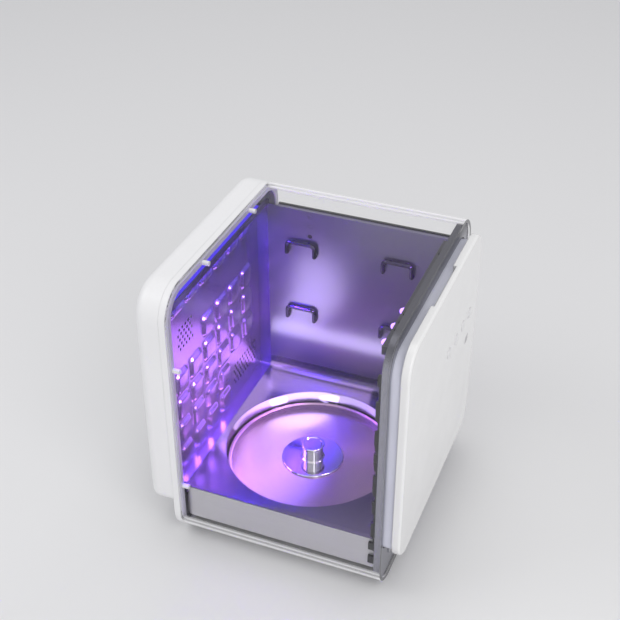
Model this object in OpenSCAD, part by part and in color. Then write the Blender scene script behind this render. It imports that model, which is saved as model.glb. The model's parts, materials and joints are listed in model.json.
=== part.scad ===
// Countertop UV sanitizer box: a clear rounded sleeve between a white rear ring and a
// silver front ring, a stainless chamber with a turntable, a drop-down front door and a
// white service housing on the back.
// Millimetres. +Z up, the door faces -Y, origin on the tabletop at the centre of the box.

/* [Cabinet] */
// Outer width of the clear sleeve
body_w = 294; // [280:1:330]
// Outer height of the clear sleeve
body_h = 330; // [322:1:380]
// Corner radius of the sleeve
body_r = 37; // [32:1:42]
// Depth from the front rim to the back face of the rear ring
shell_d = 247; // [240:1:300]
// Thickness of the clear sleeve
wall = 4; // [3:0.5:5]
// Height of the rubber feet
foot_h = 2.5; // [1.5:0.5:6]
// Radius of a rubber foot
foot_r = 9; // [7:0.5:11]
// Distance of the feet from the sleeve's sides
foot_inset = 47; // [46:1:56]
// Clearance between parts that slide into one another
fit = 0.15; // [0.1:0.05:0.3]
// Radial running clearance of shafts and pins
run = 0.05; // [0.03:0.01:0.08]

/* [Rings] */
// Depth of the white band of the rear ring
band = 7.5; // [6:0.5:10]
// Length of the rear ring's spigot inside the sleeve
spigot = 2; // [1:0.5:4]
// Width of the rear ring's face
ring_in = 10; // [9:0.5:11]
// Depth of the silver front ring
ring_t = 7; // [6:0.5:10]
// How far the front ring lies behind the rim of the sleeve
recess = 2; // [1:0.5:3]
// Thickness of the front ring's sealing lip
lip_t = 2; // [1.5:0.5:3]
// Width of the front ring's sealing lip
lip_w = 7; // [6:0.5:8]
// Head radius of the clamping pegs
peg_r = 2.8; // [2.2:0.1:2.9]
// Length of a clamping peg
peg_l = 8; // [5:0.5:10]

/* [Chamber] */
// Distance from the sleeve's outside to the inside of the chamber wall
ch_side = 15; // [14:0.5:18]
// Distance from the top of the sleeve to the top of the chamber walls
top_gap = 38; // [34:1:50]
// Height of the chamber floor above the underside of the sleeve
floor_h = 52; // [50:0.5:60]
// Depth of the floor tray below its near rim
tray_d = 20.5; // [16:0.5:22]
// How far the tray's far rim lies below its near rim
rim_drop = 5.5; // [3:0.5:7]
// Fillet radius along both sides of the floor tray
tray_fillet = 9; // [6:1:12]
// Sheet thickness of the stainless walls
sheet = 1.2; // [1:0.1:1.5]
// How far the back wall lies behind the rear ring
back_set = 15; // [13:0.5:16]
// Width of the supports on the side wall
rack_w = 41; // [30:1:50]
// Height of a side wall support
rack_h = 20; // [14:1:26]
// Thickness of a side wall support
rack_t = 5; // [3:0.5:6]
// Pitch of the embossed squares on the back wall
cell_p = 35; // [33:0.5:35.5]
// Side of one embossed square
cell_w = 31.5; // [28:0.5:32]
// Relief of the embossed squares
cell_t = 3; // [2:0.5:3.5]
// Side of the bevelled edge round an embossed square
cell_e = 5; // [3:0.5:7]

/* [Base] */
// Air gap between the sleeve and the base box
base_gap = 23.5; // [23:0.5:26]
// Wall thickness of the base box
base_wall = 2; // [1.5:0.5:3]
// Radius of the base box's rear corners
base_r = 10; // [8:1:14]
// Distance of the base box from the rear ring's back face
base_back = 8; // [8:0.5:12]

/* [Turntable] */
// Radius of the turntable dish
dish_r = 102.4; // [85:0.2:104]
// Gap between the dish and its well
well_gap = 1.6; // [1:0.2:4]
// Depth of the well in the chamber floor
well_d = 21; // [18:0.5:21]
// Height of the dish's rim
dish_rim = 3.2; // [2:0.2:6]
// Radius of the hub flange
hub_r = 37.3; // [24:0.1:42]
// Radius of the chrome post
post_r = 12.5; // [8:0.5:16]
// Height of the chrome post above the dish
post_h = 22; // [16:1:40]
// Radius of the motor
motor_r = 25; // [20:1:30]
// Height of the motor
motor_h = 11; // [9:0.5:12]

/* [Door] */
// Distance of the door's sides from the sleeve's sides
door_side = 12; // [10:0.5:15]
// Distance of the door's upper edge below the top of the sleeve
door_drop = 12.7; // [10:0.1:16]
// Corner radius of the door
door_r = 29.5; // [24:0.5:34]
// Thickness of the door
door_t = 9; // [8.5:0.5:12]
// Gap between the door and the rim of the sleeve
door_gap = 8; // [7.8:0.1:9]
// Height of the door's lower edge above the underside of the sleeve
door_lift = 38.8; // [38:0.2:42]
// Thickness of the door's front skin
skin = 2.4; // [1.8:0.2:3]
// Width of the grip recess in the door's upper edge
grip_w = 82; // [60:1:110]
// Depth of the grip recess
grip_d = 3.5; // [2:0.5:4]
// Bar width of the pale inner frame
frame_bar = 14; // [12:0.5:18]
// Radius of the hinge knuckles
knuckle_r = 3.6; // [3:0.1:3.7]
// Radius of the hinge pins
pin_r = 1.6; // [1.2:0.1:2]
// Distance of the hinges from the door's sides
hinge_in = 37; // [27:1:60]

/* [Controls] */
// Radius of a push button
btn_r = 6; // [4:0.5:8]
// Travel of a push button
btn_travel = 0.8; // [0.5:0.1:0.9]
// Distance between neighbouring buttons
btn_pitch = 28; // [20:1:28]
// Height of the button row above the door's lower edge
btn_up = 182; // [150:1:200]
// Distance of the status window below the button row
status_drop = 34; // [24:1:50]

/* [Rear housing] */
// Depth of the rear housing
rear_d = 30; // [29:0.5:34]
// Wall thickness of the rear housing
rear_wall = 2.5; // [2:0.5:3]
// Radius of the rear housing's back edges
rear_edge = 12; // [8:1:14]
// Radius of the rear housing's lower corners
rear_low_r = 14; // [14:1:24]
// Thickness of the service cover on the rear housing
bump_d = 4; // [3:0.5:6]
// Height of the service cover
bump_h = 144; // [130:1:160]
// Side of the square fan
fan_w = 60; // [50:1:62]
// Depth of the fan
fan_d = 9.5; // [8:0.5:10]

/* [Lamps] */
// Radius of a lamp lens
lens_r = 4; // [3:0.5:5]
// Distance between neighbouring lamp lenses
lens_pitch = 29; // [24:1:32]

/* [Hidden] */
$fn = 96;

zb = foot_h;
zt = zb + body_h;
zc = zb + body_h / 2;
proud = 0.6;
total_d = proud + door_t + door_gap + shell_d + rear_d + bump_d;
y_door = -total_d / 2 + proud;
y_dback = y_door + door_t;
y_f = y_dback + door_gap;
y_r = y_f + shell_d;
y_ring = y_f + recess;
y_lip = y_ring + ring_t - lip_t;
y_in = y_ring + ring_t;
y_peg = y_r - band - spigot;

ch_w = body_w - 2 * ch_side;
door_w = body_w - 2 * door_side;
door_h = body_h - door_lift - door_drop;
hinge_x = door_w / 2 - hinge_in;
xw = ch_w / 2;
z_top = zt - top_gap;
z_floor = zb + floor_h;
z_rim = z_floor + tray_d;
tray_t = 1.5;
flange = 3.5;
y_tray0 = y_in + 0.3;
y_back = y_r + back_set;
wall_lip = 7;
side_lip = 8;
sense_r = 2.8;
z_far = z_rim - rim_drop;
wall_h = z_top - z_far + 9;
yt = (y_tray0 + y_back) / 2;

z_base = zb + wall + base_gap;
base_x = xw + tray_t + 0.3 + base_wall;
y_base0 = y_in + 0.3;
y_base1 = y_r - base_back;
foot_x = body_w / 2 - foot_inset;
foot_y = [y_f + foot_inset, y_r - foot_inset];
stem_r = 3;

well_r = dish_r + well_gap;
z_well = z_floor - well_d;
z_dish = z_well + 1.8;
dish_t = 1.2;
coupler_r = 7;
shaft_r = 3;
board_w = 37;
board_l = 34;
board_x = base_x - base_wall - board_w - 3;
board_y = y_base0 + base_wall + 3;
board_z = z_base + base_wall;
magnet_x = door_w / 2 - 43;
magnet_r = 2.9;
well_low = z_well - tray_t;
z_motor = well_low - 2 - motor_h;
z_pan = z_motor - base_wall;

door_z = zb + door_lift;
door_zc = door_z + door_h / 2;
fr_side = 3;
fr_low = 15;
fr_top = 8.8;
fr_w = door_w - 2 * fr_side;
fr_h = door_h - fr_low - fr_top;
fr_z = door_z + fr_low + fr_h / 2;
fr_r = door_r - fr_side;
fr_r_low = 9;
fr_y1 = y_ring + 2.5;
open_gap = 1.5;
hinge_z = door_z + 4;
hinge_y = y_f - door_gap / 2;
knuckle_w = 14;
leaf_w = 8;
plunger_r = 1.6;
plunger_x = hinge_x - 38;
plunger_z = z_floor - tray_t - 4.5;
plunger_out = 2;

btn_x0 = 16.5;
btn_z = door_z + btn_up;
btn_xs = [btn_x0, btn_x0 + btn_pitch, btn_x0 + 2 * btn_pitch, btn_x0 + 3 * btn_pitch];
status_x = btn_xs[3] - 4;
status_z = btn_z - status_drop;
status_w = 12;
status_h = 9;

z_open = z_floor - tray_t - 0.3;
rear_z = z_open - rear_wall - 0.5;
rear_h = zt - rear_z;
rear_zc = rear_z + rear_h / 2;
y_cover = y_r + rear_d;
back_z0 = z_open - 0.2;
bump_w = body_w - 2 * rear_edge;
bump_z = rear_z + rear_edge;
vent2_x = xw - 49.5;
filter_w = 44;
filter_h = 48;
filter_wall = 2;
vent2_z = z_floor + 33;
vent1_x = -(xw - 67);
vent1_z = z_top - 65;
vent_w = 3;
vent_h = 3.6;
vent_px = 7.2;
vent_pz = 6.4;
inlet_x = -(body_w / 2 - 47);
inlet_z = zb + wall + 24;

lens_xs = [for (k = [1, 2, 3]) -(7 + k * lens_pitch)];
bar_z = z_top + 2.5;
bar_h = 10;
bar_d = 12;
bar_x = 7 + 3 * lens_pitch + 14;
lamp_y = y_r + sheet + 1.5;

// ---------- shared shapes ----------

// rounded rectangle about the origin
module rrect(w, h, r) {
    square([w - 2 * r, h], center = true);
    square([w, h - 2 * r], center = true);
    for (sx = [-1, 1], sy = [-1, 1])
        translate([sx * (w / 2 - r), sy * (h / 2 - r)]) circle(r);
}

// rounded rectangle with other radii at its lower corners
module rrect2(w, h, r, r_low) {
    polygon([[-w / 2, -h / 2 + r_low], [-w / 2 + r_low, -h / 2 + r_low], [-w / 2 + r_low, -h / 2],
        [w / 2 - r_low, -h / 2], [w / 2 - r_low, -h / 2 + r_low], [w / 2, -h / 2 + r_low],
        [w / 2, h / 2 - r], [w / 2 - r, h / 2 - r], [w / 2 - r, h / 2],
        [-w / 2 + r, h / 2], [-w / 2 + r, h / 2 - r], [-w / 2, h / 2 - r]]);
    for (sx = [-1, 1]) {
        translate([sx * (w / 2 - r), h / 2 - r]) circle(r);
        translate([sx * (w / 2 - r_low), -h / 2 + r_low]) circle(r_low);
    }
}

// carries a flat X-Z drawing from y0 over a length towards +Y
module along_y(y0, len) {
    translate([0, y0 + len, 0]) rotate([90, 0, 0]) linear_extrude(len) children();
}

// cylinder along Y from y0
module rod_y(x, y0, z, r, len) {
    translate([x, y0 + len, z]) rotate([90, 0, 0]) cylinder(r = r, h = len);
}

// outline of the cabinet, drawn in by an inset
module outline(inset) {
    translate([0, zc]) rrect(body_w - 2 * inset, body_h - 2 * inset, body_r - inset);
}

// outline of the door's inner frame, drawn in or out
module frame_outline(inset) {
    translate([0, fr_z]) rrect2(fr_w - 2 * inset, fr_h - 2 * inset, max(1, fr_r - inset), max(1, fr_r_low - inset));
}

// flat profile of width l and height t, its two upper corners rounded by e
module soft_profile(l, t, e) {
    intersection() {
        union() {
            translate([-l / 2, -e]) square([l, t]);
            translate([-l / 2 + e, 0]) square([l - 2 * e, t]);
            for (s = [-1, 1]) translate([s * (l / 2 - e), t - e]) circle(e);
        }
        translate([-l / 2, 0]) square([l, t]);
    }
}

// plate with one rounded edge all round, flat at z = 0 and soft at z = t; its corners have
// radius r at +Y and r_low at -Y
module soft_slab(w, h, r, t, e, r_low) {
    for (s = [-1, 1]) {
        rc = s > 0 ? r : r_low;
        translate([-(w / 2 - rc), 0, 0]) rotate([90, 0, 90]) linear_extrude(w - 2 * rc) intersection() {
            soft_profile(h, t, e);
            translate([s > 0 ? 0 : -h, 0]) square([h, t]);
        }
        for (sx = [-1, 1]) translate([sx * (w / 2 - rc), s * (h / 2 - rc), 0]) rotate_extrude() intersection() {
            soft_profile(2 * rc, t, e);
            square([rc + 1, t + 1]);
        }
    }
    translate([0, h / 2 - r, 0]) rotate([90, 0, 0]) linear_extrude(h - r - r_low) soft_profile(w, t, e);
}

// n-shaped support of bent round bar, standing off the wall towards -X
module rack_support(y, z_up, h, depth) {
    r = rack_t / 2;
    bend = 5;
    ys = rack_w / 2 - r;
    zs = h / 2 - r;
    translate([xw - depth + r, y, z_up]) {
        rod_y(0, -ys + bend, zs, r, 2 * (ys - bend));
        for (s = [-1, 1]) {
            translate([0, s * (ys - bend), zs - bend]) rotate([90, 0, 90]) rotate([0, 0, s > 0 ? 0 : 90])
                rotate_extrude(angle = 90) translate([bend, 0]) circle(r, $fn = 32);
            translate([0, s * ys, -zs]) cylinder(r = r, h = 2 * zs - bend);
            // feet bent into the wall
            translate([0, s * ys, -zs]) sphere(r);
            translate([0, s * ys, -zs]) rotate([0, 90, 0]) cylinder(r = r, h = depth - r + 0.4);
            translate([0, s * (ys - bend - 3), zs]) rotate([0, 90, 0]) cylinder(r = r * 0.8, h = depth - r + 0.4);
        }
    }
}

// octagon of a square with cut corners, in the X-Z plane
function cell_ring(w, h, c, y) = [[-w / 2, y, h / 2 - c], [-w / 2, y, -h / 2 + c], [-w / 2 + c, y, -h / 2],
    [w / 2 - c, y, -h / 2], [w / 2, y, -h / 2 + c], [w / 2, y, h / 2 - c], [w / 2 - c, y, h / 2],
    [-w / 2 + c, y, h / 2]];

// embossed square with bevelled edges, its base at y = 0.5 and its face at y = -t
module cell(w, h, t, e) {
    polyhedron(points = concat(cell_ring(w, h, e + 1, 0.5), cell_ring(w - 2 * e, h - 2 * e, e - 1, -t)),
        faces = concat([for (k = [0:7]) [k, 8 + k, 8 + (k + 1) % 8, (k + 1) % 8]],
            [[for (k = [0:7]) k]], [[for (k = [7:-1:0]) 8 + k]]));
}

// room for the turntable's well where it crosses the base box and the rear ring
module well_relief() {
    translate([0, yt, z_well - tray_t - 0.3]) cylinder(r = well_r + tray_t + 0.3, h = 80, $fn = 160);
}

// ---------- cabinet ----------

module sleeve() {
    color([0.85, 0.88, 0.93, 0.3]) difference() {
        along_y(y_f, shell_d - band) difference() {
            outline(0);
            outline(wall);
        }
        for (sx = [-1, 1], y = foot_y)
            translate([sx * foot_x, y, zb - 1]) cylinder(r = stem_r + 0.3, h = wall + 2);
    }
}

module ring_opening() {
    along_y(y_peg - 1, band + spigot + 2) translate([0, (z_open + zt - ring_in) / 2])
        rrect2(body_w - 2 * ring_in, zt - ring_in - z_open, body_r - ring_in, 2);
}

module rear_ring() {
    color("whitesmoke") difference() {
        along_y(y_r - band, band) outline(0);
        // chamber opening: the lower part stays closed by a web
        ring_opening();
        // the web is 4 mm thick
        along_y(y_peg - 1, band + spigot - 3) translate([0, (zb + ring_in + z_open + 1) / 2])
            rrect2(body_w - 2 * ring_in, z_open + 1 - zb - ring_in, 2, body_r - ring_in - 8);
        // inlet cut-out and peg holes
        along_y(y_r - 5, 6) translate([inlet_x, inlet_z]) square([24.6, 18.6], center = true);
        for (p = peg_points()) rod_y(p[0], y_peg - 1, p[1], 1.6, 5);
        well_relief();
    }
}

// silver ring in front of the rear ring, clamped by the pegs
module clamp_ring() {
    color([0.6, 0.6, 0.63]) difference() {
        along_y(y_peg, spigot) outline(wall + fit);
        ring_opening();
        along_y(y_peg - 1, spigot + 2) translate([0, (zb + ring_in + z_open + 1) / 2])
            rrect2(body_w - 2 * ring_in, z_open + 1 - zb - ring_in, 2, body_r - ring_in - 8);
        for (p = peg_points()) rod_y(p[0], y_peg - 1, p[1], 1.6, spigot + 2);
        well_relief();
    }
}

peg_in = wall + 3.2;
function peg_points() = [for (s = [-1, 1]) [s * body_w * 0.204, zt - peg_in],
    for (s = [-1, 1], k = [0.224, 0.715]) [s * (body_w / 2 - peg_in), zb + k * body_h]];

module ring_pegs() {
    color("white") for (p = peg_points()) {
        rod_y(p[0], y_peg - peg_l, p[1], peg_r, peg_l);
        rod_y(p[0], y_peg - 1, p[1], 1.5, 4.6);
    }
}

module front_ring() {
    color("silver") difference() {
        along_y(y_ring, ring_t) outline(wall + fit);
        along_y(y_ring - 1, ring_t + 1 - lip_t) frame_outline(-open_gap);
        along_y(y_ring - 1, ring_t + 2) frame_outline(-open_gap + lip_w);
        rod_y(plunger_x, y_ring - 1, plunger_z, plunger_r + run, ring_t + 2);
        for (sx = [-1, 1]) rod_y(sx * magnet_x, y_lip + 0.5, fr_z + fr_h / 2 - 2, magnet_r + 0.1, lip_t);
    }
}

// black clips that tie the front ring to the chamber and the base
module frame_clips() {
    color([0.12, 0.12, 0.14]) {
        for (k = [0.33, 0.41, 0.515, 0.595, 0.727, 0.845])
            translate([-(xw + 7), y_in, zb + k * body_h]) cube([5, 5, 12]);
        for (dz = [16, 36]) translate([-(xw + 7), y_in, z_rim - dz]) cube([3, 8, 10]);
        for (k = [0.365, 0.61, 0.82]) translate([xw + sheet, y_in, zb + k * body_h]) cube([6, 7, 14]);
        // small blocks along the upper bar
        for (k = [-0.77, -0.64, -0.5, 0.66]) translate([k * bar_x, y_in, bar_z + bar_h + 0.2]) cube([9, 8, 5]);
    }
}

module base_plan(x, y0, y1, r) {
    translate([-x, y0]) square([2 * x, y1 - y0 - r]);
    translate([-(x - r), y0]) square([2 * (x - r), y1 - y0]);
    for (s = [-1, 1]) translate([s * (x - r), y1 - r]) circle(r);
}

module base_box() {
    color([0.72, 0.72, 0.75]) difference() {
        union() {
            translate([0, 0, z_base]) linear_extrude(z_rim - tray_t - z_base)
                base_plan(base_x, y_base0, y_base1, base_r);
            // posts that carry the box on the sleeve's bottom, over the feet
            for (sx = [-1, 1], y = foot_y)
                translate([sx * foot_x, y, zb + wall]) cylinder(r = 8, h = base_gap + 1);
            // pan that holds the motor
            translate([0, yt, z_pan]) cylinder(r = motor_r + fit + base_wall, h = z_base - z_pan + 1);
        }
        translate([0, yt, z_motor]) cylinder(r = motor_r + fit, h = z_base + base_wall - z_motor + 1);
        // low wall on the far side, and a notch for the power inlet
        translate([base_x - base_wall - 1, y_base0 - 1, z_far - tray_t]) cube([base_wall + 2, shell_d, 2 * tray_d]);
        translate([inlet_x - 12.3, y_r - 14.3, inlet_z - 9.3]) cube([24.6, 20, 18.6]);
        translate([0, 0, z_base + base_wall]) linear_extrude(z_rim)
            base_plan(base_x - base_wall, y_base0 + base_wall, y_base1 - base_wall, base_r - base_wall);
        // the floor tray passes over the rear wall
        translate([-(base_x - base_wall), y_base1 - base_r - base_wall, z_floor - tray_t - 0.3])
            cube([2 * (base_x - base_wall), base_r + base_wall + 5, 60]);
        // and through the front wall down to the tray's underside
        translate([-(base_x - base_wall), y_base0 - 1, z_floor - tray_t - 0.3])
            cube([2 * (base_x - base_wall), base_wall + 2, 60]);
        rod_y(plunger_x, y_base0 - 1, plunger_z, plunger_r + 1, base_wall + 2);
        for (sx = [-1, 1], y = foot_y)
            translate([sx * foot_x, y, zb]) cylinder(r = stem_r, h = wall + 9);
        well_relief();
    }
}

module feet() {
    color([0.25, 0.25, 0.27]) for (sx = [-1, 1], y = foot_y) translate([sx * foot_x, y, 0]) {
        cylinder(r = foot_r, h = foot_h);
        cylinder(r = stem_r, h = foot_h + wall + 8);
    }
}

// ---------- chamber ----------

module side_wall() {
    depth = 6.5;
    color([0.78, 0.79, 0.83]) difference() {
        union() {
            translate([xw, y_tray0, z_far + 0.2]) cube([sheet, y_r - y_tray0, z_top - z_far - 0.2]);
            translate([xw, y_tray0, z_top - sheet]) cube([side_lip, y_r - 12 - y_tray0, sheet]);
            for (y = [yt + 0.273 * shell_d, yt - 0.227 * shell_d], k = [0.222, 0.626])
                rack_support(y, z_top - k * wall_h, rack_h, depth);
        }
        // two pressed rings and the sensor hole
        for (dz = [7, 20]) translate([xw - 1, yt + 56.5, z_top - dz]) rotate([0, 90, 0]) difference() {
            cylinder(r = 3.1, h = 1.6);
            translate([0, 0, -1]) cylinder(r = 2.2, h = 4);
        }
        translate([xw - 1, yt + 56.5, z_top - 34]) rotate([0, 90, 0]) cylinder(r = sense_r + 0.2, h = sheet + 2);
    }
}

// dark edge seal on the lip of the side wall
module edge_trim() {
    x0 = xw + side_lip - 2;
    color([0.1, 0.1, 0.12]) difference() {
        translate([x0, y_tray0, z_top - sheet - 1]) cube([3, y_r - 12 - y_tray0, sheet + 2]);
        translate([x0 - 1, y_tray0 - 1, z_top - sheet - 0.02]) cube([3.02, y_r - y_tray0 + 2, sheet + 0.04]);
    }
}

module tray_profile(x, z0, r) {
    translate([-x, z0 + r]) square([2 * x, z_rim + 10 - z0 - r]);
    translate([-(x - r), z0]) square([2 * (x - r), z_rim + 10 - z0]);
    for (s = [-1, 1]) translate([s * (x - r), z0 + r]) circle(r);
}

module floor_tray() {
    len = y_r - 0.3 - y_tray0;
    color([0.74, 0.74, 0.8]) difference() {
        union() {
            intersection() {
                along_y(y_tray0, len) tray_profile(xw + tray_t, z_floor - tray_t, tray_fillet + tray_t);
                translate([-xw - 5, y_tray0, 0]) cube([2 * xw + 10, len, z_rim]);
            }
            for (s = [-1, 1])
                translate([s * (xw + tray_t / 2 + flange / 2), (y_tray0 + y_r - 13) / 2,
                    (s > 0 ? z_far : z_rim) - tray_t / 2]) cube([flange + tray_t, y_r - 13 - y_tray0, tray_t], center = true);
            translate([0, yt, z_well - tray_t]) cylinder(r = well_r + tray_t, h = well_d + tray_t - 0.2, $fn = 160);
            // rolled edge round the well
            translate([0, yt, z_floor]) rotate_extrude($fn = 160) translate([well_r + 0.9, 0]) circle(0.9, $fn = 24);
            rack_support(yt + 0.273 * shell_d, z_far - 8, 14, 6.5);
        }
        translate([xw - 1, y_tray0 - 1, z_far]) cube([20, shell_d, 2 * tray_d]);
        along_y(y_tray0 - 1, len + 2) tray_profile(xw, z_floor, tray_fillet);
        translate([0, yt, z_well]) cylinder(r = well_r, h = 60, $fn = 160);
        translate([0, yt, z_well - 5]) cylinder(r = coupler_r + 3, h = 10);
    }
}

module vent_field(x, z, n) {
    for (j = [-2:2], i = [-n:n])
        along_y(y_back - 1, sheet + 2) translate([x + (i + (j % 2 == 0 ? 0.25 : -0.25)) * vent_px, z + j * vent_pz])
            square([vent_w, vent_h], center = true);
}

// stainless sheet with rows of embossed squares, and two fields of slots
module back_wall() {
    h = z_top + sheet - back_z0;
    top = z_top - 13.7;
    color([0.72, 0.7, 0.84]) {
        difference() {
            along_y(y_back, sheet) translate([0, back_z0 + h / 2]) rrect2(ch_w + 2 * sheet, h, 8, 4);
            vent_field(vent1_x, vent1_z, 2);
            vent_field(vent2_x, vent2_z, 4);
        }
        // columns count from the right, rows from the top; row 1 and the vents stay flat
        for (row = [0, 2, 3, 4, 5, 6], col = [0:5])
            if ((row != 2 || col < 4) && (row < 5 || col > 1))
                translate([xw - 38.5 - col * cell_p, y_back, top - row * cell_p - (row == 0 ? 2 : 0)])
                    cell(cell_w, row == 0 ? cell_w - 5 : cell_w, cell_t, cell_e);
    }
}

// rim that joins the back wall to the chamber, with a lip against the rear ring
module back_rim() {
    w = ch_w + 2 * sheet;
    h = z_top + sheet - back_z0;
    zm = back_z0 + h / 2;
    color([0.74, 0.72, 0.84]) difference() {
        union() {
            along_y(y_r + 0.2, back_set - 0.2) translate([0, zm]) rrect2(w, h, 8, 4);
            along_y(y_r, sheet) difference() {
                translate([0, zm + wall_lip / 2]) rrect2(w + 2 * wall_lip, h + wall_lip, 12, 6);
                translate([0, back_z0 - 10]) square([2 * w, 20.4], center = true);
            }
        }
        along_y(y_r - 1, back_set + 2) translate([0, zm]) rrect2(w - 2 * sheet, h - 2 * sheet, 7, 3);
        translate([-bar_x - 0.3, lamp_y + 1.2, z_top - 2]) cube([2 * bar_x + 0.6, 6.6, 6]);
    }
}

module lamp_bar() {
    color([0.22, 0.22, 0.25]) difference() {
        translate([-bar_x, y_in, bar_z]) cube([2 * bar_x, bar_d, bar_h]);
        for (x = lens_xs) rod_y(x, y_in + bar_d - 5, bar_z + bar_h / 2, lens_r - 1 + 0.1, 6);
    }
}

module lamp_lenses() {
    color([0.62, 0.3, 1]) for (x = lens_xs) {
        rod_y(x, y_in + bar_d - 4, bar_z + bar_h / 2, lens_r - 1, 5);
        rod_y(x, y_in + bar_d, bar_z + bar_h / 2, lens_r, 1.5);
        translate([x, y_in + bar_d + 1.5, bar_z + bar_h / 2]) sphere(lens_r - 0.6);
    }
}

module rear_lamp() {
    color([0.3, 0.28, 0.36]) translate([-bar_x - 4, lamp_y, z_top + sheet]) cube([2 * bar_x + 8, 9, 6]);
}

module rear_diffuser() {
    color([0.62, 0.35, 1]) translate([-bar_x, lamp_y + 1.5, z_top - 0.6]) cube([2 * bar_x, 6, sheet + 0.6]);
}

// ---------- turntable ----------

module dish() {
    z = z_dish;
    color([0.8, 0.78, 0.86]) translate([0, yt, 0]) rotate_extrude($fn = 160) polygon([
        [coupler_r + 1, z], [dish_r - 1.4, z], [dish_r, z + 1.4], [dish_r, z + dish_rim - 0.4],
        [dish_r - 0.5, z + dish_rim], [dish_r - 1.2, z + dish_rim], [dish_r - 2.6, z + dish_t + 0.3],
        [dish_r - 4, z + dish_t], [coupler_r + 1, z + dish_t]]);
}

module spindle() {
    z = z_dish + dish_t;
    color([0.88, 0.88, 0.92]) translate([0, yt, 0]) difference() {
        union() {
            translate([0, 0, z]) cylinder(r = hub_r, h = 1.4);
            translate([0, 0, z + 1.4]) cylinder(r1 = hub_r, r2 = hub_r - 1, h = 0.8);
            translate([0, 0, z + 2.2]) cylinder(r1 = post_r + 2, r2 = post_r, h = 1.6);
            translate([0, 0, z + 2.2]) cylinder(r = post_r, h = post_h - 4);
            // cap with a rounded rim and a shallow dish in its top
            translate([0, 0, z + post_h - 4]) cylinder(r1 = post_r, r2 = post_r + 1.2, h = 1.4);
            translate([0, 0, z + post_h - 2.8]) rotate_extrude() {
                square([post_r + 0.4, 2.8]);
                translate([post_r + 0.4, 1.4]) circle(1.4, $fn = 32);
            }
            translate([0, 0, z - dish_t]) cylinder(r = coupler_r + 0.7, h = 2);
        }
        translate([0, 0, z + post_h - 0.5]) cylinder(r1 = post_r - 2.5, r2 = post_r - 1.5, h = 0.6);
        translate([0, 0, z - dish_t - 1]) cylinder(r = shaft_r + 0.02, h = 11);
    }
}

module drive_shaft() {
    color("gray") translate([0, yt, 0]) {
        translate([0, 0, z_motor + 4]) cylinder(r = shaft_r, h = z_dish + 9 - z_motor - 4);
        translate([0, 0, z_well - 2.4]) cylinder(r = coupler_r, h = z_dish - z_well + 2.4);
    }
}

module bearing_bush() {
    color([0.85, 0.8, 0.6]) translate([0, yt, 0]) difference() {
        union() {
            translate([0, 0, z_well - tray_t]) cylinder(r = coupler_r + 3, h = tray_t);
            translate([0, 0, z_well - tray_t - 1]) cylinder(r = coupler_r + 5, h = 1);
        }
        translate([0, 0, z_well - 8]) cylinder(r = coupler_r + run, h = 12);
    }
}

module motor() {
    color([0.6, 0.6, 0.62]) translate([0, yt, z_motor]) difference() {
        union() {
            cylinder(r = motor_r, h = motor_h);
            translate([0, 0, motor_h]) cylinder(r = shaft_r + 2.5, h = 0.8);
        }
        translate([0, 0, 3]) cylinder(r = shaft_r + run, h = motor_h);
    }
}

module main_board() {
    color([0.1, 0.4, 0.25]) translate([board_x, board_y, board_z]) {
        translate([0, 0, 4]) cube([board_w, board_l, 1.6]);
        for (x = [4, board_w - 4], y = [4, board_l - 4]) translate([x, y, 0]) cylinder(r = 3, h = 4);
        translate([9, 8, 5.6]) cube([12, 18, 8]);
        translate([board_w - 13, 9, 5.6]) cube([8, 14, 6]);
    }
}

// ---------- rear housing ----------

module cover_form(inset, depth) {
    // rounded outline with softened back edges
    e = rear_edge - inset;
    w = body_w - 2 * inset;
    h = rear_h - 2 * inset;
    translate([0, y_r, rear_zc]) rotate([-90, 0, 0]) mirror([0, 1, 0])
        soft_slab(w, h, body_r - inset, depth, e, rear_low_r - inset);
}

module rear_cover() {
    color("whitesmoke") difference() {
        cover_form(0, rear_d);
        translate([0, -0.01, 0]) cover_form(rear_wall, rear_d - rear_wall + 0.01);
        // windows behind the fan and the filter
        along_y(y_cover - rear_wall - 1, rear_wall + 2) translate([vent2_x, vent2_z]) circle(fan_w / 2 - 3);
        along_y(y_cover - rear_wall - 1, rear_wall + 2) translate([-vent2_x, vent2_z]) rrect(64, 44, 4);
        // narrow groove in the upper back edge
        translate([-0.19 * body_w, y_cover - 8.6, zt - 5]) rotate([-45, 0, 0]) cube([0.258 * body_w, 8, 1.8]);
        for (p = screw_points()) rod_y(p[0], y_cover - rear_wall - 1, p[1], 1.5, rear_wall + 2);
    }
}

function screw_points() = [for (sx = [-1, 1], z = [bump_z + 12, bump_z + bump_h - 12]) [sx * (bump_w / 2 - 12), z]];

module service_cover() {
    color([0.93, 0.93, 0.94]) difference() {
        translate([0, y_cover, bump_z + bump_h / 2]) rotate([-90, 0, 0])
            mirror([0, 1, 0])
            soft_slab(bump_w, bump_h, 22, bump_d, 2.5, 6);
        for (i = [-5:5]) {
            h = 2 * sqrt(max(0, pow(fan_w / 2 - 4, 2) - pow(i * 5, 2)));
            along_y(y_cover - 1, bump_d + 2) translate([vent2_x + i * 5, vent2_z]) square([2.6, h], center = true);
        }
        for (i = [-5:5])
            along_y(y_cover - 1, bump_d + 2) translate([-vent2_x + i * 5, vent2_z]) square([2.6, 38], center = true);
        for (p = screw_points()) {
            rod_y(p[0], y_cover - 1, p[1], 1.7, bump_d + 2);
            rod_y(p[0], y_cover + bump_d - 1.6, p[1], 3.2, 3);
        }
    }
}

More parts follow.
